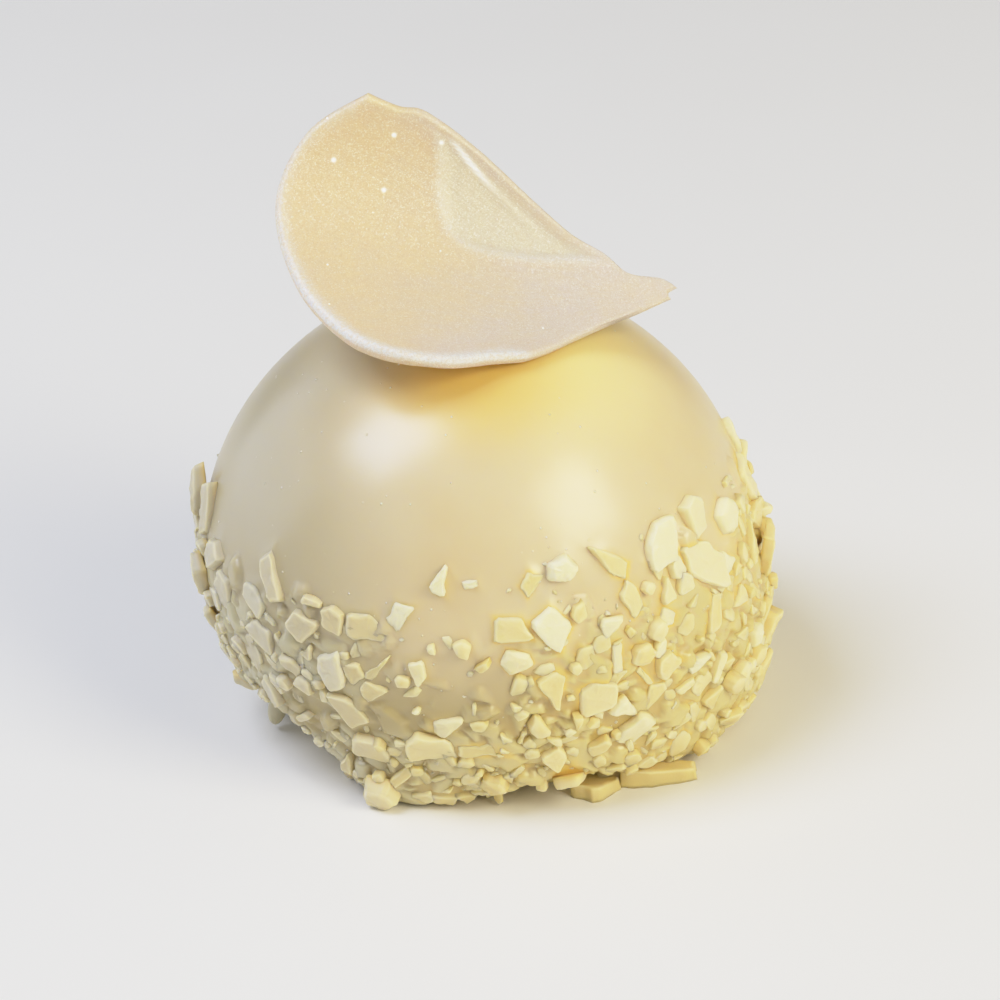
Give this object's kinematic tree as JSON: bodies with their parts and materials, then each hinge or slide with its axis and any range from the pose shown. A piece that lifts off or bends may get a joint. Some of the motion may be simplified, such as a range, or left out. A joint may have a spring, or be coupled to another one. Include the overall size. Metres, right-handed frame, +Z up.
{
  "type": "mousse cake",
  "caption": "Single-portion glazed mousse dome, its lower half coated in broken white chocolate, with a curved chocolate petal on its crown.",
  "frame": {"origin": "middle of the foot, on the flat face that the cake rests on", "axes": "+Z up through the dome, -Y towards the front that the picture shows, +X to the right of that front"},
  "size_m": [0.0815, 0.0784, 0.0878],
  "materials": {
    "glaze": "smooth ivory glaze with a soft gloss",
    "white_chocolate": "cream white chocolate, waxy where broken and pearl dusted on the petal"
  },
  "bodies": {
    "root": {"cake": "glaze", "petal": "white_chocolate"}
  },
  "joints": []
}
